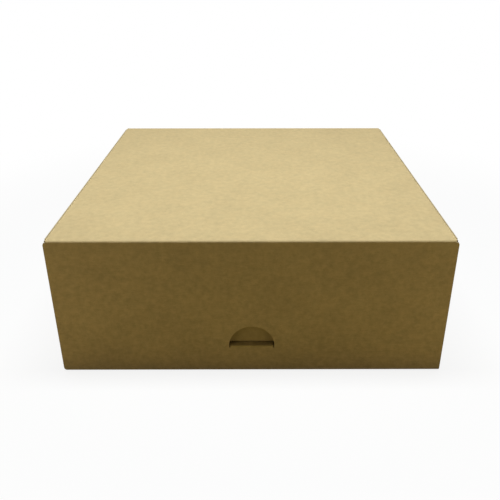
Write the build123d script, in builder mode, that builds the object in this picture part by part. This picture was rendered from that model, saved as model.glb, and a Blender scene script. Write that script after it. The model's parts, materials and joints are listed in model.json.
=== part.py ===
"""Folding pastry box of kraft board: a glued tray, a lid on its back crease, and a front flap with a lock tab."""
import os

from build123d import *

# Whole box, in millimetres: +X right, -Y front, +Z up, origin on the ground under the middle of the box
box_width = 260.0
box_depth = 260.0
box_height = 100.0

# Board and its folds
board = 0.6
crease_inside = 0.4              # radius on the inside of a fold
crease = board + crease_inside   # radius on the outside of a fold

# Clearances
flap_clearance = 2.7             # front wall to front flap
lid_clearance = 0.4              # side wall to the lid's side flap
hinge_clearance = 0.1            # round bead of a hinged fold to the panel that meets it
foot_clearance = 0.4             # front flap's lower edge above the ground

# Tray
side_wall_drop = 0.8             # top edges below the top of the lid
front_wall_drop = 1.5
front_corner_drop = 1.3          # glued front corners
glue_tab_width = 20.0
glue_tab_taper = 5.0

# Lock: a half-moon tab cut free from the front flap and pushed in through a slit in the front wall
moon_radius = 15.3
moon_middle = 20.7               # middle of the half-moon's round, above the ground
moon_side = 1.1                  # short straight sides, from the round down to the tab's crease
moon_relief_width = 0.6          # cuts at the ends of the crease
moon_relief_depth = 0.6
tab_kerf = 0.2                   # tab's rim to the rim of the half-moon, before it was pushed in
tab_bend = 0.6                   # middle radius of the tab's crease
tab_lean = 82.0                  # degrees pushed inwards
slit_above = 2.5                 # top of the slit above the tab's crease
slit_below = 0.8
slit_spare = 0.7                 # slit past each side of the tab

# Lid
side_flap_depth = 46.0           # below the top of the lid
side_flap_setback = 5.2          # from the front and back folds
side_flap_taper = 16.0
side_flap_corner = 8.0

# Front flap
flap_left_corner = 2.0           # worn rounder than the right one
flap_right_corner = 0.8
flap_relief_width = 0.8          # cut-off upper corners beside the lid's front fold
flap_relief_height = 1.8

# Places that follow from the sizes above
half_width = box_width / 2
half_depth = box_depth / 2
half_board = board / 2
bend_middle = crease - half_board
hinge_z = box_height - crease
back_hinge_y = half_depth - crease
front_hinge_y = -back_hinge_y
front_wall_y = -half_depth + board + flap_clearance
side_middle = half_width - half_board
side_front = front_wall_y + board + crease
side_back = half_depth - board - crease
side_wall_top = box_height - side_wall_drop
front_wall_top = box_height - front_wall_drop
back_wall_top = box_height - 2 * crease - hinge_clearance
front_corner_top = box_height - front_corner_drop
bend_end = side_middle - crease - board
tab_end = side_middle - glue_tab_width
lid_half_width = half_width - board - lid_clearance
lid_middle = lid_half_width - half_board
lid_flap_foot = box_height - side_flap_depth
lid_flap_end = back_hinge_y - side_flap_setback
flap_middle = -half_depth + half_board
moon_foot = moon_middle - moon_side
tab_radius = moon_radius - tab_kerf
slit_half_width = moon_radius + slit_spare

# Tray
with BuildPart() as tray:
    # Base and side walls, folded from one strip across the width
    with BuildSketch(Plane.XZ.offset(-side_back)) as side_fold:
        with BuildLine():
            FilletPolyline(
                (-side_middle, side_wall_top),
                (-side_middle, half_board),
                (side_middle, half_board),
                (side_middle, side_wall_top),
                radius=bend_middle,
            )
        trace(line_width=board)
    extrude(amount=side_back - side_front)

    # Front and back walls, folded up from the base
    for wall_middle, foot_end, wall_top in (
        (front_wall_y + half_board, side_front + crease, front_wall_top),
        (half_depth - half_board, side_back - crease, back_wall_top),
    ):
        with BuildSketch(Plane.YZ.offset(-half_width)) as end_fold:
            with BuildLine():
                FilletPolyline(
                    (wall_middle, wall_top),
                    (wall_middle, half_board),
                    (foot_end, half_board),
                    radius=bend_middle,
                )
            trace(line_width=board)
        extrude(amount=box_width)

    # Corners: each side wall's end turns in and is glued behind the front or back wall
    for side in (-1, 1):
        for wall_end, tab_middle, corner_top in (
            (side_front + crease, front_wall_y + board + half_board, front_corner_top),
            (side_back - crease, half_depth - board - half_board, back_wall_top),
        ):
            with BuildSketch(Plane.XY.offset(crease)) as corner_bend:
                with BuildLine():
                    FilletPolyline(
                        (side * side_middle, wall_end),
                        (side * side_middle, tab_middle),
                        (side * bend_end, tab_middle),
                        radius=bend_middle,
                    )
                trace(line_width=board)
            extrude(amount=corner_top - crease)
            with BuildSketch(Plane.XZ.offset(-tab_middle)) as glue_tab:
                with BuildLine():
                    Polyline(
                        (side * (bend_end + half_board), crease),
                        (side * (bend_end + half_board), corner_top),
                        (side * tab_end, corner_top - glue_tab_taper),
                        (side * tab_end, crease + glue_tab_taper),
                        close=True,
                    )
                make_face()
            extrude(amount=half_board, both=True)

    # Rounded bottom edges along both sides, right through to the ends of the front and back walls
    for side in (-1, 1):
        with BuildSketch(Plane.XZ) as edge_round:
            with BuildLine():
                Polyline(
                    (side * (half_width - crease), 0),
                    (side * half_width, 0),
                    (side * half_width, crease),
                )
                CenterArc(
                    (side * (half_width - crease), crease),
                    crease,
                    start_angle=270,
                    arc_size=side * 90,
                )
            make_face()
        extrude(amount=box_depth, both=True, mode=Mode.SUBTRACT)

    # Slit for the front flap's lock tab
    with BuildSketch(Plane.XZ.offset(-front_wall_y - half_board)) as slit:
        with Locations((0, moon_foot - slit_below)):
            Rectangle(
                2 * slit_half_width,
                slit_below + slit_above,
                align=(Align.CENTER, Align.MIN),
            )
    extrude(amount=half_board, both=True, mode=Mode.SUBTRACT)

# Lid
with BuildPart() as lid:
    # Top panel and side flaps, folded from one strip across the width
    with BuildSketch(Plane.XZ) as lid_fold:
        with BuildLine():
            FilletPolyline(
                (-lid_middle, lid_flap_foot),
                (-lid_middle, box_height - half_board),
                (lid_middle, box_height - half_board),
                (lid_middle, lid_flap_foot),
                radius=bend_middle,
            )
        trace(line_width=board)
    extrude(amount=back_hinge_y, both=True)

    # Side flaps trimmed to a taper with rounded free corners
    with BuildSketch(Plane.YZ) as flap_trim:
        with Locations((0, hinge_z)):
            Rectangle(box_depth, side_flap_depth, align=(Align.CENTER, Align.MAX))
        with BuildLine():
            FilletPolyline(
                (-lid_flap_end, hinge_z),
                (-lid_flap_end + side_flap_taper, lid_flap_foot),
                (lid_flap_end - side_flap_taper, lid_flap_foot),
                (lid_flap_end, hinge_z),
                radius=side_flap_corner,
            )
            Line((lid_flap_end, hinge_z), (-lid_flap_end, hinge_z))
        make_face(mode=Mode.SUBTRACT)
    extrude(amount=half_width, both=True, mode=Mode.SUBTRACT)

    # Round bead of board along the back fold and the front fold
    with Locations((0, front_hinge_y, hinge_z), (0, back_hinge_y, hinge_z)):
        Cylinder(
            radius=crease,
            height=2 * (lid_half_width - crease),
            rotation=(0, 90, 0),
        )

# Front flap
with BuildPart() as front_flap:
    with BuildSketch(Plane.XZ.offset(half_depth)) as flap_panel:
        with BuildLine():
            Polyline(
                (-half_width, foot_clearance),
                (half_width, foot_clearance),
                (half_width, hinge_z - flap_relief_height),
                (half_width - flap_relief_width, hinge_z),
                (-half_width + flap_relief_width, hinge_z),
                (-half_width, hinge_z - flap_relief_height),
                close=True,
            )
        make_face()
        lower_corners = flap_panel.vertices().group_by(Axis.Y)[0].sort_by(Axis.X)
        fillet(lower_corners[0], radius=flap_left_corner)
        fillet(lower_corners[1], radius=flap_right_corner)
        with BuildLine():
            CenterArc((0, moon_middle), moon_radius, start_angle=0, arc_size=180)
            Polyline(
                (-moon_radius, moon_middle),
                (-moon_radius, moon_foot),
                (moon_radius, moon_foot),
                (moon_radius, moon_middle),
            )
        make_face(mode=Mode.SUBTRACT)
        for side in (-1, 1):
            with Locations((side * (moon_radius - moon_relief_width / 2), moon_foot)):
                Rectangle(
                    moon_relief_width,
                    2 * moon_relief_depth,
                    mode=Mode.SUBTRACT,
                )
    extrude(amount=-board)

    # Hollowed top edge that turns on the lid's front fold
    with Locations((0, front_hinge_y, hinge_z)):
        Cylinder(
            radius=crease + hinge_clearance,
            height=box_width,
            rotation=(0, 90, 0),
            mode=Mode.SUBTRACT,
        )

# Lock tab, the half-moon of the front flap's own board
with BuildPart() as lock_tab:
    # Folded in from its crease
    with BuildSketch(Plane.YZ) as tab_fold:
        with BuildLine():
            bend = Vector(flap_middle, moon_foot + tab_bend)
            tip = bend + Vector(0, moon_radius + moon_side).rotate(Axis.Z, -tab_lean)
            FilletPolyline((flap_middle, moon_foot), bend, tip, radius=tab_bend)
        trace(line_width=board)
    extrude(amount=moon_radius, both=True)

    # Trimmed to the half-moon
    tab_plane = Plane((0, flap_middle, moon_foot + tab_bend), x_dir=(1, 0, 0), z_dir=(0, -1, 0))
    with BuildSketch(tab_plane.rotated((-tab_lean, 0, 0))) as tab_outline:
        with BuildLine():
            CenterArc((0, moon_side - tab_bend), tab_radius, start_angle=0, arc_size=180)
            Polyline(
                (-tab_radius, moon_side - tab_bend),
                (-tab_radius, -tab_bend),
                (tab_radius, -tab_bend),
                (tab_radius, moon_side - tab_bend),
            )
        make_face()
    extrude(amount=moon_radius, both=True, mode=Mode.INTERSECT)

tray.part.label = "tray"
lid.part.label = "lid"
front_flap.part.label = "front_flap"
lock_tab.part.label = "lock_tab"

os.makedirs("parts", exist_ok=True)
export_step(tray.part, "parts/tray.step")
export_step(lid.part, "parts/lid.step")
export_step(front_flap.part, "parts/front_flap.step")
export_step(lock_tab.part, "parts/lock_tab.step")
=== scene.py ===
# %% [markdown]
# A pastry box is one sheet of kraft board, cut, creased and folded. Its solids come from the CAD model, and
# this lesson gives them the look of real board. The CAD model is loaded first, as a frame that is never
# moved, so that every piece made here can be put where the CAD says, in metres.

# %% Load the frame
import json
import math

import bmesh
import bpy
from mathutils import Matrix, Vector


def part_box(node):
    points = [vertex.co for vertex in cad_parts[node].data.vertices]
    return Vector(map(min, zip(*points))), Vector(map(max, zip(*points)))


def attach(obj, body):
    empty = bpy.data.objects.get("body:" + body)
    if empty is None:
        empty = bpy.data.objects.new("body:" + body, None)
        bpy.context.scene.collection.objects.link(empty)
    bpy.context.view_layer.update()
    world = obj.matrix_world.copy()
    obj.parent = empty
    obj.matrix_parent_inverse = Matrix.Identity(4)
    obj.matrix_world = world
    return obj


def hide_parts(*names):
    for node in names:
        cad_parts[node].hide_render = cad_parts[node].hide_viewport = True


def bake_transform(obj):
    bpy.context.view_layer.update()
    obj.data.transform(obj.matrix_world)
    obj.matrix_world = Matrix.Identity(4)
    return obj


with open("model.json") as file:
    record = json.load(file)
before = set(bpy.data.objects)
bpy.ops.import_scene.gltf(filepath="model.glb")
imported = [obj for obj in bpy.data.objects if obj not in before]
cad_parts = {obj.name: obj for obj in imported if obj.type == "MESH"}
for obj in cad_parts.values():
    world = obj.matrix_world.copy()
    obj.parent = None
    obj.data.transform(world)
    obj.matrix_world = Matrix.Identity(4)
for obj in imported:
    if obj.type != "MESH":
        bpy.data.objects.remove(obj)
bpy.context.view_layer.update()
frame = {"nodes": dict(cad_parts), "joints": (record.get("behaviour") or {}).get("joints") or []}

# %% [markdown]
# The folds are the skeleton of the box. Their places are read from the frame instead of being typed again:
# the two hinges give the middle of the back fold and the front fold, the boxes of the nodes give the
# panels, and the flat front flap is as deep as the board is thick.

# %% Read the sizes
lid_low, lid_high = (Vector(corner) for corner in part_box("lid"))
flap_low, flap_high = (Vector(corner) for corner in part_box("front_flap"))
tray_low, tray_high = (Vector(corner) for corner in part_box("tray"))
hinge_places = {joint["name"]: Vector(joint["pos_m"]) for joint in frame["joints"]}
back_hinge = hinge_places["lid_hinge"]
front_hinge = hinge_places["front_flap_hinge"]
crease = lid_high.z - back_hinge.z
board = flap_high.y - flap_low.y
print("fold radius", round(crease, 5), "board", round(board, 5))

# %% [markdown]
# The photograph looks down on the front of the box from close by. The camera could be moved by hand until
# the edges line up, but the edges and corners were measured in the picture instead, and the camera's place,
# tilt and lens worked out from them. The small shift says that the picture was cropped a little off the
# middle of the lens.

# %% Camera
camera_place = Vector((0.0035, -0.4521, 0.2603))
camera_tilt = math.radians(25.28)
camera_turn = math.radians(0.19)
camera_lens = bpy.data.cameras.new("camera")
camera_lens.sensor_width = 36.0
camera_lens.lens = 41.71
camera_lens.shift_x = -0.017
camera_lens.shift_y = -0.042
camera_lens.clip_start = 0.01
camera = bpy.data.objects.new("camera", camera_lens)
bpy.context.collection.objects.link(camera)
looking = Vector((
    math.sin(camera_turn) * math.cos(camera_tilt),
    math.cos(camera_turn) * math.cos(camera_tilt),
    -math.sin(camera_tilt),
))
camera.location = camera_place
camera.rotation_euler = looking.to_track_quat("-Z", "Y").to_euler()
bpy.context.scene.camera = camera
print("camera at", camera_place, "looking along", looking)

# %% [markdown]
# Shader maths is easier to read as sums than as a list of nodes. A small class wraps one output of a node,
# so that Python's own signs add Math nodes, and one method adds any other node: its settings first, then
# its inputs.


# %% Shader values that can be added, multiplied and compared
class Shade:
    """An output socket that Python's + - * < > signs and abs turn into Math nodes."""

    def __init__(self, tree, socket):
        self.tree = tree
        self.socket = socket

    def reckon(self, operation, first, second=0.0):
        return self.tree.add("ShaderNodeMath", {"operation": operation}, {0: first, 1: second})

    def __add__(self, other):
        return self.reckon("ADD", self, other)

    def __radd__(self, other):
        return self.reckon("ADD", other, self)

    def __sub__(self, other):
        return self.reckon("SUBTRACT", self, other)

    def __rsub__(self, other):
        return self.reckon("SUBTRACT", other, self)

    def __mul__(self, other):
        return self.reckon("MULTIPLY", self, other)

    def __rmul__(self, other):
        return self.reckon("MULTIPLY", other, self)

    def __lt__(self, other):
        return self.reckon("LESS_THAN", self, other)

    def __gt__(self, other):
        return self.reckon("GREATER_THAN", self, other)

    def __abs__(self):
        return self.reckon("ABSOLUTE", self)


class ShadeTree:
    """The node tree of a material or of the world, with one way to add a node."""

    def __init__(self, owner):
        owner.use_nodes = True
        self.owner = owner
        self.nodes = owner.node_tree.nodes
        self.links = owner.node_tree.links

    def feed(self, socket, value):
        if isinstance(value, Shade):
            self.links.new(value.socket, socket)
        else:
            socket.default_value = value

    def add(self, kind, settings=None, inputs=None, output=0):
        node = self.nodes.new(kind)
        for name, setting in (settings or {}).items():
            setattr(node, name, setting)
        for name, value in (inputs or {}).items():
            self.feed(node.inputs[name], value)
        return Shade(self, node.outputs[output]) if node.outputs else None


print("shader helper ready")

# %% [markdown]
# The photograph was taken in soft light from above: the top is bright, and the front is in a soft shade that
# grows darker towards the table. One wide lamp overhead does that. It ends right above the front of the box,
# so it lights the front only by way of the table, which throws back a warm light. Weak warm lamps at the
# front left, the front right and the back stand for the rest of the room. One strong lamp in front would be
# simpler, but it would take away the difference between the top and the front.


# %% Lamps
def soft_lamp(name, place, aim, width, depth, energy, colour):
    """A rectangular lamp that stands at a place and is turned to an aim."""
    lamp_data = bpy.data.lights.new(name, "AREA")
    lamp_data.shape = "RECTANGLE"
    lamp_data.size = width
    lamp_data.size_y = depth
    lamp_data.energy = energy
    lamp_data.color = colour
    lamp = bpy.data.objects.new(name, lamp_data)
    lamp.location = place
    lamp.rotation_euler = (Vector(aim) - Vector(place)).to_track_quat("-Z", "Y").to_euler()
    bpy.context.collection.objects.link(lamp)
    print(name, "at", place, "energy", energy)


soft_lamp(
    "overhead_lamp", place=(0.0, -0.05, 0.85), aim=(0.0, -0.05, 0.0),
    width=0.6, depth=0.16, energy=7.0, colour=(0.95, 0.985, 1.0),
)
for name, side, energy, colour in (
    ("left_lamp", -1.0, 0.17, (1.0, 0.84, 0.6)),
    ("right_lamp", 1.0, 0.16, (1.0, 0.83, 0.53)),
):
    soft_lamp(
        name, place=(side * 0.36, -0.32, 0.085), aim=(side * 0.13, -0.13, 0.025),
        width=0.2, depth=0.16, energy=energy, colour=colour,
    )
soft_lamp(
    "back_lamp", place=(0.0, 0.5, 0.12), aim=(0.0, 0.13, 0.04),
    width=0.5, depth=0.16, energy=0.17, colour=(1.0, 0.85, 0.6),
)

# %% [markdown]
# The photograph's background is plain white. A white room would light the box from all sides, so the room
# is white only to rays from the camera, and to those that a mirror or a pane of glass would send on. To all
# other rays it gives a weak, warm light.

# %% Background
white = (1.0, 1.0, 1.0, 1.0)
room_tone = (1.0, 0.85, 0.6, 1.0)
room_strength = 0.01


def white_rays(tree):
    """1 for the rays that should meet a white background: the camera's, and those of mirrors and glass."""
    camera_ray, glossy_ray, glass_ray = (
        tree.add("ShaderNodeLightPath", None, None, "Is %s Ray" % kind)
        for kind in ("Camera", "Glossy", "Transmission")
    )
    settings = {"operation": "ADD", "use_clamp": True}
    return tree.add("ShaderNodeMath", settings, {0: camera_ray + glossy_ray, 1: glass_ray})


def mix_shaders(tree, share, first, second):
    return tree.add("ShaderNodeMixShader", None, {0: share, 1: first, 2: second})


world_tree = ShadeTree(bpy.context.scene.world or bpy.data.worlds.new("room"))
bpy.context.scene.world = world_tree.owner
world_tree.nodes.clear()
room_light = world_tree.add("ShaderNodeBackground", None, {"Color": room_tone, "Strength": room_strength})
room_white = world_tree.add("ShaderNodeBackground", None, {"Color": white, "Strength": 1.0})
room = mix_shaders(world_tree, white_rays(world_tree), room_light, room_white)
world_tree.add("ShaderNodeOutputWorld", None, {"Surface": room})
bpy.context.scene.view_settings.view_transform = "Standard"
print("room has", len(world_tree.nodes), "nodes")

# %% [markdown]
# The table throws warm light up at the front of the box. Close to the foot its colour is painted darker, a
# painted shadow, so that it throws back less light there and the front is darkest at its foot. To the camera
# it is nearly white, with a share of plain shading that keeps the box's shadow, and quite white further off,
# so that no horizon shows. Two floors, one to be seen and one to give light, would do as well, but one plane
# with a mixed shader is less to look after.

# %% Floor
floor_span = 8.0
floor_tan = (0.395, 0.317, 0.115, 1.0)
# Painted shadow: the floor's colour close to the box, seen by light but not by the camera
floor_shadow_tone = (0.14, 0.1, 0.0, 1.0)
floor_pale = (0.95, 0.95, 0.95, 1.0)
white_share = 0.86

# Distances from the middle of the box
painted_shadow_until = 0.125
tan_from = 0.23
shaded_until = 0.2
white_from = 0.5


def ramp(tree, value, low, high):
    """0 below low, 1 above high, smooth between them."""
    settings = {"interpolation_type": "SMOOTHSTEP"}
    return tree.add("ShaderNodeMapRange", settings, {"Value": value, "From Min": low, "From Max": high})


def coordinates(tree, kind):
    """Object gives a point's place on its piece, and Normal gives the way that the surface faces."""
    return tree.add("ShaderNodeTexCoord", None, None, kind)


def one_axis(tree, vector, axis):
    return tree.add("ShaderNodeSeparateXYZ", None, {0: vector}, axis)


bpy.ops.object.select_all(action="DESELECT")
bpy.ops.mesh.primitive_plane_add(size=floor_span, location=(0.0, 0.0, 0.0))
floor = bpy.context.object
floor.name = "floor"
floor_tree = ShadeTree(bpy.data.materials.new("pale_floor"))
floor_tree.nodes.clear()
tan_floor, painted_shadow_floor, pale_floor = (
    floor_tree.add("ShaderNodeBsdfDiffuse", None, {"Color": colour})
    for colour in (floor_tan, floor_shadow_tone, floor_pale)
)
plain_white = floor_tree.add("ShaderNodeEmission", None, {"Color": white, "Strength": 1.0})
floor_place = coordinates(floor_tree, "Object")
from_middle = floor_tree.add("ShaderNodeVectorMath", {"operation": "LENGTH"}, {0: floor_place}, "Value")
far_off = ramp(floor_tree, from_middle, shaded_until, white_from)
x_span, y_span = (abs(one_axis(floor_tree, floor_place, axis)) for axis in "XY")
off_box = floor_tree.add("ShaderNodeMath", {"operation": "MAXIMUM"}, {0: x_span, 1: y_span})
beyond_painted_shadow = ramp(floor_tree, off_box, painted_shadow_until, tan_from)
# Painted shadow: the warm floor turns dark close to the foot, so the front is darkest there
floor_warm = mix_shaders(floor_tree, beyond_painted_shadow, painted_shadow_floor, tan_floor)
seen_white = white_share + (1.0 - white_share) * far_off
floor_seen = mix_shaders(floor_tree, seen_white, pale_floor, plain_white)
floor_mix = mix_shaders(floor_tree, white_rays(floor_tree), floor_warm, floor_seen)
floor_tree.add("ShaderNodeOutputMaterial", None, {"Surface": floor_mix})
floor.data.materials.append(floor_tree.owner)
print("floor has", len(floor_tree.nodes), "nodes")

# %% [markdown]
# Kraft board is pressed from brown fibres: cloudy over centimetres, mottled over a few millimetres, with
# fine fibres that mostly lie along the sheet and a few dark and pale flecks. A photograph of board would do,
# but a pattern made of noise has no seams and can be looked at from as close as one likes. The pattern
# follows the flat sheet: on folded pieces it reads a stored place, so that it stays on the board when a
# flap turns. A piece without a stored place reads its own coordinates, turned over where it faces sideways.

# %% Kraft board: noise on the sheet
# A Mix node has its two inputs and its result once for each kind of value, told apart by their numbers
mix_sockets = {"VECTOR": (4, 5, 1), "RGBA": (6, 7, 2)}
sideways = 0.5


def mix(tree, kind, share, first, second):
    """first where share is 0, second where it is 1."""
    first_socket, second_socket, result = mix_sockets[kind]
    inputs = {0: share, first_socket: first, second_socket: second}
    return tree.add("ShaderNodeMix", {"data_type": kind}, inputs, result)


def sheet_place(tree, stored):
    """Where a point lies on the sheet, from a stored place or from the object's own coordinates."""
    if stored:
        return tree.add("ShaderNodeAttribute", {"attribute_name": "sheet_place"}, None, "Vector")
    place = coordinates(tree, "Object")
    to_right = one_axis(tree, coordinates(tree, "Normal"), "X")
    faces_sideways = to_right * to_right > sideways
    x, y, z = (one_axis(tree, place, axis) for axis in "XYZ")
    turned = tree.add("ShaderNodeCombineXYZ", None, {0: z, 1: y, 2: x})
    return mix(tree, "VECTOR", faces_sideways, place, turned)


def noise(tree, place, scale, detail=2.0, roughness=0.5, turn=0.0, stretch=1.0):
    """Noise around zero, with features of about 1 / scale metres, which a stretch below 1 makes longer."""
    laid_inputs = {"Vector": place, "Rotation": (0.0, 0.0, turn), "Scale": (stretch, 1.0, 1.0)}
    laid = tree.add("ShaderNodeMapping", None, laid_inputs)
    inputs = {"Vector": laid, "Scale": scale, "Detail": detail, "Roughness": roughness}
    return tree.add("ShaderNodeTexNoise", None, inputs) - 0.5


print("noise helpers ready")

# %% [markdown]
# The finish adds up those patterns: a tone that runs from a darker to a lighter board, then a warm tint,
# pale fibres and dark flecks laid over it, and a low relief. In the photograph the front is mottled more
# strongly than the lid: the board's own mottle, made stronger as painted shade of its relief under light
# that falls at a low angle. That could be two finishes, but the folded sheet is one, so the strength grows
# along the sheet just below the front fold.

# %% Kraft board: finish
kraft_tone = (0.60, 0.47, 0.245)
warm_tone = (0.66, 0.44, 0.2, 1.0)
pale_tone = (0.78, 0.66, 0.42, 1.0)
dark_tone = (0.28, 0.19, 0.09, 1.0)
tone_spread = 0.14
lid_strength = 0.97
# Painted shade: the front's own mottle is made stronger to stand for its relief in low light
front_mottle_and_shade = 1.6
front_fade = 0.012


def toned(colour, share):
    return (*(channel * share for channel in colour), 1.0)


def board_tones(tree, tone, colour):
    """A colour of board, from its darker shade at 0 to its lighter shade at 1."""
    return mix(tree, "RGBA", tone, toned(colour, 1.0 - tone_spread), toned(colour, 1.0 + tone_spread))


def pattern_strength(tree, place, stored):
    """How strongly the board is mottled: more on the front flap, where the extra is painted shade of the
    relief.
    """
    if not stored:
        return lid_strength
    down_sheet = one_axis(tree, place, "Y")
    on_front = 1.0 - ramp(tree, down_sheet, flap_low.y - front_fade, flap_low.y)
    return lid_strength + (front_mottle_and_shade - lid_strength) * on_front


def kraft_finish(name, base_tone, stored=True, own_colour=None):
    """Kraft board, on a stored place or not. own_colour, if given, changes the colour in places."""
    tree = ShadeTree(bpy.data.materials.new(name))
    place = sheet_place(tree, stored)
    clouds = noise(tree, place, scale=30.0)
    patches = noise(tree, place, scale=95.0)
    mottle = noise(tree, place, scale=245.0, detail=4.0, roughness=0.64)
    grain = noise(tree, place, scale=1900.0)
    fibres = noise(tree, place, scale=1200.0, stretch=0.16)
    cross_fibres = noise(tree, place, scale=1200.0, turn=0.9, stretch=0.2)
    flecks = noise(tree, place, scale=900.0, detail=1.0)

    pressed = 0.6 * clouds + 0.4 * patches + 1.45 * mottle
    fibrous = 0.6 * grain + 0.35 * fibres + 0.3 * cross_fibres
    tone = 0.5 + pattern_strength(tree, place, stored) * (pressed + fibrous)
    colour = board_tones(tree, tone, base_tone)
    warm = ramp(tree, patches, -0.15, 0.15)
    colour = mix(tree, "RGBA", 0.07 * warm, colour, warm_tone)
    pale = ramp(tree, cross_fibres + 0.6 * fibres, 0.3, 0.42)
    colour = mix(tree, "RGBA", 0.35 * pale, colour, pale_tone)
    dark = ramp(tree, flecks, 0.24, 0.3)
    colour = mix(tree, "RGBA", 0.45 * dark, colour, dark_tone)
    if own_colour:
        colour = own_colour(tree, colour, tone, 0.5 + 0.8 * grain + 0.8 * mottle)

    height = mottle + 0.1 * grain + 0.12 * fibres + 0.08 * cross_fibres
    relief = tree.add("ShaderNodeBump", None, {"Strength": 0.7, "Distance": 0.0004, "Height": height})
    shader = tree.nodes["Principled BSDF"]
    shader.inputs["Specular IOR Level"].default_value = 0.15
    tree.feed(shader.inputs["Base Color"], colour)
    tree.feed(shader.inputs["Roughness"], 0.8 + 0.2 * mottle)
    tree.feed(shader.inputs["Normal"], relief)
    print(name, "has", len(tree.nodes), "nodes")
    return tree.owner


folded_kraft = kraft_finish("folded_kraft", kraft_tone)

# %% [markdown]
# Where the die cuts the sheet, its middle shows: rougher, a little paler and greyer than the pressed faces,
# and fuzzy with cut fibres. The edge could be left in the colour of the faces, but an edge of its own colour
# is what makes a thin sheet read as board.

# %% Cut edge
edge_tones = ((0.5, 0.42, 0.27, 1.0), (0.62, 0.52, 0.34, 1.0))


def edge_finish(name):
    tree = ShadeTree(bpy.data.materials.new(name))
    place = coordinates(tree, "Object")
    fuzz = noise(tree, place, scale=2600.0)
    lumps = noise(tree, place, scale=500.0)
    colour = mix(tree, "RGBA", 0.5 + 0.8 * fuzz + 0.8 * lumps, *edge_tones)
    relief = tree.add("ShaderNodeBump", None, {"Strength": 0.5, "Distance": 0.0001, "Height": fuzz})
    shader = tree.nodes["Principled BSDF"]
    shader.inputs["Specular IOR Level"].default_value = 0.1
    shader.inputs["Roughness"].default_value = 0.95
    tree.feed(shader.inputs["Base Color"], colour)
    tree.feed(shader.inputs["Normal"], relief)
    print(name, "has", len(tree.nodes), "nodes")
    return tree.owner


cut_edge = edge_finish("cut_edge")

# %% [markdown]
# Board is modelled as a real box is made: a flat sheet is folded along its creases and trimmed. A few
# helpers do by code what the mouse would do in Edit Mode: pick edges or faces by their place, fold an edge
# round a crease with Spin, pull a panel out with Extrude, and cut with Bisect. A Boolean could cut the
# corners too, but it needs a solid, and the sheet has no thickness yet.

# %% Helpers for folding and cutting
near = 1e-5
cut_threshold = 1e-7
fold_steps = 6
quarter_turn = math.radians(90)
right = Vector((1.0, 0.0, 0.0))
back = Vector((0.0, 1.0, 0.0))
up = Vector((0.0, 0.0, 1.0))
sides = (-1.0, 1.0)


def add_sheet(name, middle, width, depth, columns, rows, tilt=0.0):
    """Adds a flat sheet of squares. tilt raises its far edge, up to a quarter turn for an upright sheet."""
    bpy.ops.object.select_all(action="DESELECT")
    bpy.ops.mesh.primitive_grid_add(
        x_subdivisions=columns, y_subdivisions=rows, size=width, location=middle, rotation=(tilt, 0.0, 0.0),
    )
    sheet = bpy.context.object
    sheet.scale.y = depth / width
    bpy.ops.object.transform_apply(location=True, rotation=True, scale=True)
    sheet.name = name
    sheet.data.name = name
    return sheet


def pick(kind, rule):
    """Selects the edges or faces whose every corner fits the rule, and returns how many there are."""
    bpy.ops.mesh.select_mode(type=kind)
    bpy.ops.mesh.select_all(action="DESELECT")
    mesh = bmesh.from_edit_mesh(bpy.context.edit_object.data)
    members = mesh.edges if kind == "EDGE" else mesh.faces
    chosen = [member for member in members if all(rule(corner.co) for corner in member.verts)]
    for member in chosen:
        member.select = True
    mesh.select_flush_mode()
    bmesh.update_edit_mesh(bpy.context.edit_object.data)
    return len(chosen)


def mark_line(place, normal):
    """Adds a straight row of edges across the whole sheet."""
    bpy.ops.mesh.select_all(action="SELECT")
    bpy.ops.mesh.bisect(plane_co=place, plane_no=normal, threshold=cut_threshold)


def trim(place, normal):
    """Cuts the picked faces off beyond a plane."""
    bpy.ops.mesh.bisect(plane_co=place, plane_no=normal, clear_outer=True, threshold=cut_threshold)


def fold(middle, axis, angle=quarter_turn):
    """Rolls the picked edges round a crease. Spin turns clockwise when the axis points at the reader."""
    bpy.ops.mesh.spin(steps=fold_steps, angle=angle, center=middle, axis=axis)


def pull(way, steps=1):
    """Extrudes the picked edges in even steps."""
    for step in range(steps):
        bpy.ops.mesh.extrude_edges_move(TRANSFORM_OT_translate={"value": tuple(way / steps)})


def round_corner(rule, corner, first, second, radius, cuts):
    """Trims a corner round with straight cuts, from a side that faces first to one that faces second."""
    first = first.normalized()
    second = second.normalized()
    middle = Vector(corner) - (first + second) * radius / (1.0 + first.dot(second))
    for cut in range(cuts):
        facing = first.slerp(second, cut / (cuts - 1))
        pick("FACE", rule)
        trim(middle + facing * radius, facing)


print("folding helpers ready")

# %% [markdown]
# Only a folded and trimmed sheet gets its thickness. Extruding all of its faces would do, but Solidify keeps
# the thickness even round the folds and gives the rim the finish of a cut edge. Each point then stores its
# place on the flat sheet for the kraft finish, and the folds are smoothed while the cuts stay sharp.

# %% Helpers for thickness and smoothing
merge_distance = 1e-6
sharp_angle = math.radians(35)


def give_thickness(sheet, outwards, finish):
    """Merges, turns the faces outwards and gives the board its thickness, with the rim as a cut edge."""
    bpy.ops.object.mode_set(mode="EDIT")
    bpy.ops.mesh.select_all(action="SELECT")
    bpy.ops.mesh.remove_doubles(threshold=merge_distance)
    bpy.ops.mesh.normals_make_consistent(inside=False)
    faces = bmesh.from_edit_mesh(sheet.data).faces
    if sum(face.normal.dot(outwards) * face.calc_area() for face in faces) < 0:
        bpy.ops.mesh.flip_normals()
    bpy.ops.object.mode_set(mode="OBJECT")
    sheet.data.materials.clear()
    sheet.data.materials.append(finish)
    sheet.data.materials.append(cut_edge)
    thickness = sheet.modifiers.new("thickness", "SOLIDIFY")
    thickness.thickness = board
    thickness.offset = -1.0
    thickness.use_even_offset = True
    thickness.material_offset_rim = 1
    bpy.ops.object.modifier_apply(modifier=thickness.name)


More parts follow.
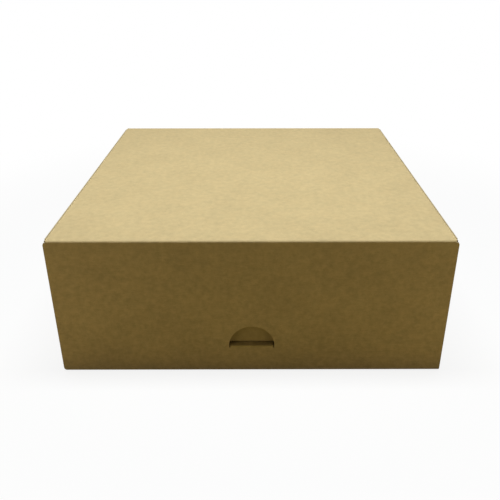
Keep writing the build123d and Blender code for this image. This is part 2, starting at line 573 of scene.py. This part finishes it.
def finish_sheet(sheet, place_on_sheet):
    """Stores each point's place on the flat sheet, and smooths the folds but not the cuts."""
    stored = sheet.data.attributes.new("sheet_place", "FLOAT_VECTOR", "POINT")
    for point, vertex in zip(stored.data, sheet.data.vertices):
        point.vector = place_on_sheet(vertex.co)
    bpy.ops.object.shade_smooth_by_angle(angle=sharp_angle)
    triangles = sum(len(face.vertices) - 2 for face in sheet.data.polygons)
    print(sheet.name, "has", triangles, "triangles")


print("thickness helpers ready")

# %% [markdown]
# The lid is the top panel with a side flap folded down along its left and right edges and tucked inside the
# tray. It could be a box with its bottom cut away, but a folded sheet gets its round creases and its cut
# edges by itself. The panel stops at a seam just behind the front fold, where the front flap's piece goes
# on, and small ears of the two side folds run on to the front and the back, so that the corners look closed.

# %% Lid: panel and side flaps
fold_x = lid_high.x - crease
side_end = 0.1238             # half of a side flap's length along its fold
crease_strip = 0.0005         # narrow faces beside a fold keep its round shading off the panels
seam_behind_hinge = 0.002
front_ear_gap = 0.0002        # from a front ear to the back of the front flap
back_ear = 0.001
seam_y = front_hinge.y + seam_behind_hinge
front_ear_end = flap_low.y + board + front_ear_gap

panel_middle = (0.0, (seam_y + back_hinge.y) / 2, lid_high.z)
lid = add_sheet("lid_board", panel_middle, 2 * fold_x, back_hinge.y - seam_y, columns=64, rows=64)
bpy.ops.object.mode_set(mode="EDIT")
for line_y in (-side_end, side_end, back_hinge.y - crease_strip):
    mark_line((0.0, line_y, 0.0), back)
for side in sides:
    mark_line((side * (fold_x - crease_strip), 0.0, 0.0), right)
for side in sides:
    def under_fold(p):
        return side * p.x > 0 and abs(p.z - back_hinge.z) < near and abs(p.y) < side_end + near

    pick("EDGE", lambda p: abs(p.x - side * fold_x) < near)
    fold((side * fold_x, 0.0, back_hinge.z), -side * back)
    pick("EDGE", lambda p: side * p.x > fold_x - near and abs(p.y - seam_y) < near)
    pull((front_ear_end - seam_y) * back)
    pick("EDGE", lambda p: side * p.x > fold_x - near and abs(p.y - back_hinge.y) < near)
    pull(back_ear * back)
    edges = pick("EDGE", under_fold)
    pull(-crease_strip * up)
    pull((lid_low.z - back_hinge.z + crease_strip) * up, steps=9)
    print("side flap from", edges, "edges")

# %% [markdown]
# A side flap is cut to a taper with round corners, so that it finds its way into the tray. The outline
# could be drawn first and folded later, but here it is trimmed as with scissors: one straight cut for the
# slant, and a fan of short cuts round to the lower edge.

# %% Lid: taper of the side flaps
flap_taper = 0.016
flap_corner = 0.008
drop = back_hinge.z - lid_low.z
for side in sides:
    for end in sides:
        def on_side_flap(p):
            return side * p.x > lid_high.x - near and p.z < back_hinge.z + near

        slant = end * drop * back - flap_taper * up
        corner = (0.0, end * (side_end - flap_taper), lid_low.z)
        round_corner(on_side_flap, corner, slant, -up, flap_corner, cuts=8)
bpy.ops.object.mode_set(mode="OBJECT")
print("side flaps reach down to", round(min(v.co.z for v in lid.data.vertices), 4))

# %% [markdown]
# The lid's back edge is folded down and runs into the tray's back wall. On the real box that is one
# sheet, which bends at the fold when the lid is lifted. Two stiff pieces would show a gap there, so this
# piece covers the fold.

# %% Lid: back fold and thickness
back_wall_top = 0.0979
bpy.ops.object.mode_set(mode="EDIT")
edges = pick("EDGE", lambda p: abs(p.y - back_hinge.y) < near and abs(p.z - lid_high.z) < near)
fold(back_hinge.y * back + back_hinge.z * up, right)
pull((back_wall_top - back_hinge.z) * up, steps=2)
bpy.ops.object.mode_set(mode="OBJECT")
print("back fold from", edges, "edges")
give_thickness(lid, up, folded_kraft)


def place_on_lid(p):
    down = lid_high.z - p.z
    if abs(p.x) > fold_x - near and abs(p.y) < side_end + near:
        return (p.x + math.copysign(down, p.x), p.y, 0.0)
    return (p.x, p.y + (down if p.y > back_hinge.y - near else 0.0), down)


finish_sheet(lid, place_on_lid)
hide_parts("lid")
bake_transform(lid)

# %% [markdown]
# The front flap hangs from the lid's front edge, outside the tray. It could begin at the fold, but the fold
# has to bend when the flap is lifted, so the fold and a narrow strip of the lid belong to this piece. The
# fold is a little rounder than the others, as it looks in the photograph.

# %% Front flap: panel and fold
front_fold = 0.0013
fold_strip = 0.001
fold_z = lid_high.z - front_fold
flap_middle = (0.0, flap_low.y, (flap_low.z + fold_z) / 2)
flap_height = fold_z - flap_low.z
flap = add_sheet(
    "front_flap_board", flap_middle, 2 * flap_high.x, flap_height, columns=65, rows=25, tilt=quarter_turn,
)
bpy.ops.object.mode_set(mode="EDIT")
for side in sides:
    mark_line((side * fold_x, 0.0, 0.0), right)
mark_line((0.0, 0.0, fold_z - fold_strip), up)
edges = pick("EDGE", lambda p: abs(p.z - fold_z) < near and abs(p.x) < fold_x + near)
fold((0.0, flap_low.y + front_fold, fold_z), right)
pull((seam_y - flap_low.y - front_fold) * back)
print("front fold from", edges, "edges")

# %% [markdown]
# The flap's upper corners are cut off beside the fold, and its lower corners are round, the left one more
# worn than the right one. A Bevel would round them after the sheet has its thickness, but a cut through the
# thin sheet is simpler, and the rim then follows it by itself.

# %% Front flap: corners and thickness
relief_width = 0.0008
relief_height = 0.0018
left_corner = 0.002
right_corner = 0.0008
corner_zone = 0.004
for side, radius in ((-1.0, left_corner), (1.0, right_corner)):
    def beside_fold(p):
        return p.y < flap_low.y + near and side * p.x > fold_x - corner_zone

    pick("FACE", beside_fold)
    relief_foot = (side * flap_high.x, 0.0, front_hinge.z - relief_height)
    trim(relief_foot, side * relief_height * right + relief_width * up)
    corner = (side * flap_high.x, flap_low.y, flap_low.z)
    round_corner(beside_fold, corner, side * right, -up, radius, cuts=7)
bpy.ops.object.mode_set(mode="OBJECT")
give_thickness(flap, -back, folded_kraft)
print("front flap is", round(2 * flap_high.x, 4), "wide and", round(flap_height, 4), "high below its fold")

# %% [markdown]
# The half-moon low in the front flap is where the lock tab was cut free. It could be trimmed like the
# corners, but a hole needs no row of cuts if it is punched out with a Boolean, after the board has its
# thickness: a half cylinder for the round, pulled down a little to the tab's crease, and then a small block
# for the cut at each end of the crease.

# %% Front flap: half-moon
moon_radius = 0.0153
moon_middle = 0.0207
moon_side = 0.0011
moon_foot = moon_middle - moon_side
moon_points = 96
punch_depth = 0.004
relief_cut = 0.0008
relief_drop = 0.0007


def punch_out(sheet, punch):
    """Cuts the shape of a punch out of the board, and leaves cut edges round the hole."""
    punch.data.materials.append(cut_edge)
    bpy.ops.object.select_all(action="DESELECT")
    bpy.context.view_layer.objects.active = sheet
    sheet.select_set(True)
    hole = sheet.modifiers.new("hole", "BOOLEAN")
    hole.operation = "DIFFERENCE"
    hole.object = punch
    hole.solver = "EXACT"
    hole.material_mode = "TRANSFER"
    bpy.ops.object.modifier_apply(modifier=hole.name)
    bpy.data.objects.remove(punch)
    print("hole punched,", len(sheet.data.polygons), "faces")


bpy.ops.object.select_all(action="DESELECT")
bpy.ops.mesh.primitive_cylinder_add(
    vertices=moon_points, radius=moon_radius, depth=punch_depth,
    location=(0.0, flap_low.y, moon_middle), rotation=(quarter_turn, 0.0, 0.0),
)
bpy.ops.object.transform_apply(location=True, rotation=True, scale=True)
bpy.ops.object.mode_set(mode="EDIT")
bpy.ops.mesh.select_all(action="SELECT")
bpy.ops.mesh.bisect(
    plane_co=(0.0, 0.0, moon_middle), plane_no=up, clear_inner=True, use_fill=True, threshold=cut_threshold,
)
pick("FACE", lambda p: abs(p.z - moon_middle) < near)
bpy.ops.mesh.extrude_region_move(TRANSFORM_OT_translate={"value": (0.0, 0.0, -moon_side)})
bpy.ops.mesh.select_all(action="SELECT")
bpy.ops.mesh.normals_make_consistent(inside=False)
bpy.ops.object.mode_set(mode="OBJECT")
punch_out(flap, bpy.context.object)
for side in sides:
    bpy.ops.object.select_all(action="DESELECT")
    bpy.ops.mesh.primitive_cube_add(
        size=relief_cut, location=(side * (moon_radius - relief_cut / 2), flap_low.y, moon_foot),
    )
    bpy.context.object.scale = (1.0, punch_depth / relief_cut, 2 * relief_drop / relief_cut)
    bpy.ops.object.transform_apply(location=True, rotation=True, scale=True)
    punch_out(flap, bpy.context.object)

# %% [markdown]
# Like the lid, the finished flap stores its place on the sheet, further down than the lid's own board. It
# could turn as a stiff piece, but its fold would then open.


# %% Front flap: finish
def place_on_flap(p):
    down = lid_high.z - p.z
    on_panel = p.y < flap_low.y + front_fold - near
    return (p.x, p.y - (down if on_panel else 0.0), p.y - flap_low.y if on_panel else down)


finish_sheet(flap, place_on_flap)
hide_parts("front_flap")
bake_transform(flap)

# %% [markdown]
# The half-moon's own board is a tab that stays joined to the flap along its straight side. It is pushed in
# through a slit in the tray's front wall and holds the box shut. It could be a flat half-moon, turned
# inwards, but the crease of a pushed tab is soft, so a sheet is rolled round it less than a quarter turn
# and then pulled inwards, and the rim is trimmed round with a row of straight cuts. Its board is toned a
# little deeper and yellower, as it looks in the photograph: painted shade for the tab in the slit.

# %% Lock tab
# Painted shade: a deeper, yellower copy of the board's tone for the tab
tab_shade_tone = (0.58, 0.46, 0.195)
tab_radius = 0.0146
tab_fold = 0.0009
tab_straight = 0.0001
tab_reach = 0.0158
tab_lean = math.radians(82)
round_in = 0.00075            # middle of the round, from the foot of the half-moon
round_up = 0.00097
tab_middle = (0.0, flap_low.y, moon_foot + tab_straight / 2)
tab = add_sheet(
    "lock_tab_board", tab_middle, 2 * tab_radius, tab_straight, columns=34, rows=1, tilt=quarter_turn,
)
bpy.ops.object.mode_set(mode="EDIT")
pick("EDGE", lambda p: abs(p.z - moon_foot - tab_straight) < near)
fold((0.0, flap_low.y + tab_fold, moon_foot + tab_straight), right, tab_lean)
inwards = math.sin(tab_lean) * back + math.cos(tab_lean) * up
pull(tab_reach * inwards, steps=10)
round_middle = Vector((0.0, flap_low.y + round_in, moon_foot + round_up))
for side in sides:
    corner = round_middle + (side * right + inwards) * tab_radius
    round_corner(lambda p: True, corner, side * right, inwards, tab_radius, cuts=14)
bpy.ops.object.mode_set(mode="OBJECT")
give_thickness(tab, -back, kraft_finish("tab_kraft_painted_shade", tab_shade_tone))


def place_on_tab(p):
    along = math.hypot(p.y - flap_low.y, p.z - moon_foot)
    return (p.x, flap_low.y - lid_high.z + moon_foot + along, p.y - flap_low.y)


finish_sheet(tab, place_on_tab)
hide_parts("lock_tab")
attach(tab, "front_flap")

# %% [markdown]
# The tray doesn't bend, and its shape comes right from the CAD model, so its node stays and gets the same
# board. Its mesh is left alone, so its cut edges can't have a material of their own. The finish finds them
# by their place and by the way they face: the tops of the walls, the ends of the front and back walls, and
# the slit. The outside of the front wall, which shows through the half-moon, has a deeper tone there, as it
# looks in the photograph: painted shade for the recess behind the flap.

# %% Tray
# Painted shade: a deeper tone for the front wall in the recess behind the flap
wall_shade_tone = (0.47, 0.36, 0.165)
wall_tops_from = 0.09
bend_until = 0.0015
facing_up = 0.7
facing_front = -0.5
edge_on = 0.25


def tray_cuts(tree):
    """1 on the cut edges: the tops of the walls, and the ends and the slit of the front and back walls."""
    place = coordinates(tree, "Object")
    facing = coordinates(tree, "Normal")
    depth, height = (one_axis(tree, place, axis) for axis in "YZ")
    to_back, to_top = (one_axis(tree, facing, axis) for axis in "YZ")
    wall_tops = (to_top > facing_up) * (height > wall_tops_from)
    front_wall = depth < tray_low.y + board + near
    back_wall = depth > tray_high.y - board - near
    wall_ends = (front_wall + back_wall) * (to_back * to_back < edge_on) * (height > bend_until)
    return tree.add("ShaderNodeMath", {"operation": "MAXIMUM"}, {0: wall_tops, 1: wall_ends})


def painted_shade_wall(tree):
    """1 on the outside of the front wall, where shade is painted."""
    depth = one_axis(tree, coordinates(tree, "Object"), "Y")
    to_back = one_axis(tree, coordinates(tree, "Normal"), "Y")
    return (depth < tray_low.y + near) * (to_back < facing_front)


def tray_colour(tree, colour, tone, fuzz):
    """The board's colour, with painted shade on the hidden wall and the cut edges in their own."""
    painted_wall_shade = board_tones(tree, tone, wall_shade_tone)
    colour = mix(tree, "RGBA", painted_shade_wall(tree), colour, painted_wall_shade)
    cut = mix(tree, "RGBA", fuzz, *edge_tones)
    return mix(tree, "RGBA", tray_cuts(tree), colour, cut)


tray = frame["nodes"]["tray"]
tray.data.materials.clear()
tray.data.materials.append(kraft_finish("tray_kraft", kraft_tone, stored=False, own_colour=tray_colour))
